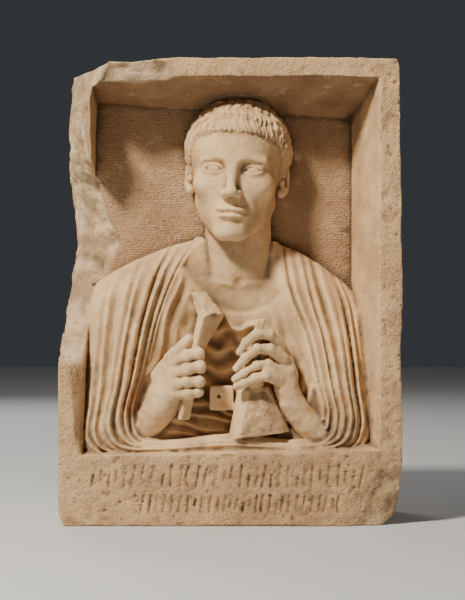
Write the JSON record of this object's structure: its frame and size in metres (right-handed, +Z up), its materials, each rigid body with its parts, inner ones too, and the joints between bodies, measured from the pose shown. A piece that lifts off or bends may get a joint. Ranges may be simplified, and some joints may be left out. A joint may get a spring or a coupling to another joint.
{
  "type": "carved stone grave stele",
  "caption": "Rectangular marble block with a framed niche holding a draped half figure with tools in both hands, above a plain band with rows of shallow strokes; broken at the upper left.",
  "frame": {"origin": "middle of the overall box in X and Y, on the flat underside", "axes": "+X to the viewer's right, +Y into the stone, +Z up; the carved front faces -Y"},
  "size_m": [0.58, 0.2664, 0.788],
  "materials": {
    "marble": "weathered"
  },
  "bodies": {
    "root": {"stele": "marble"}
  },
  "joints": []
}
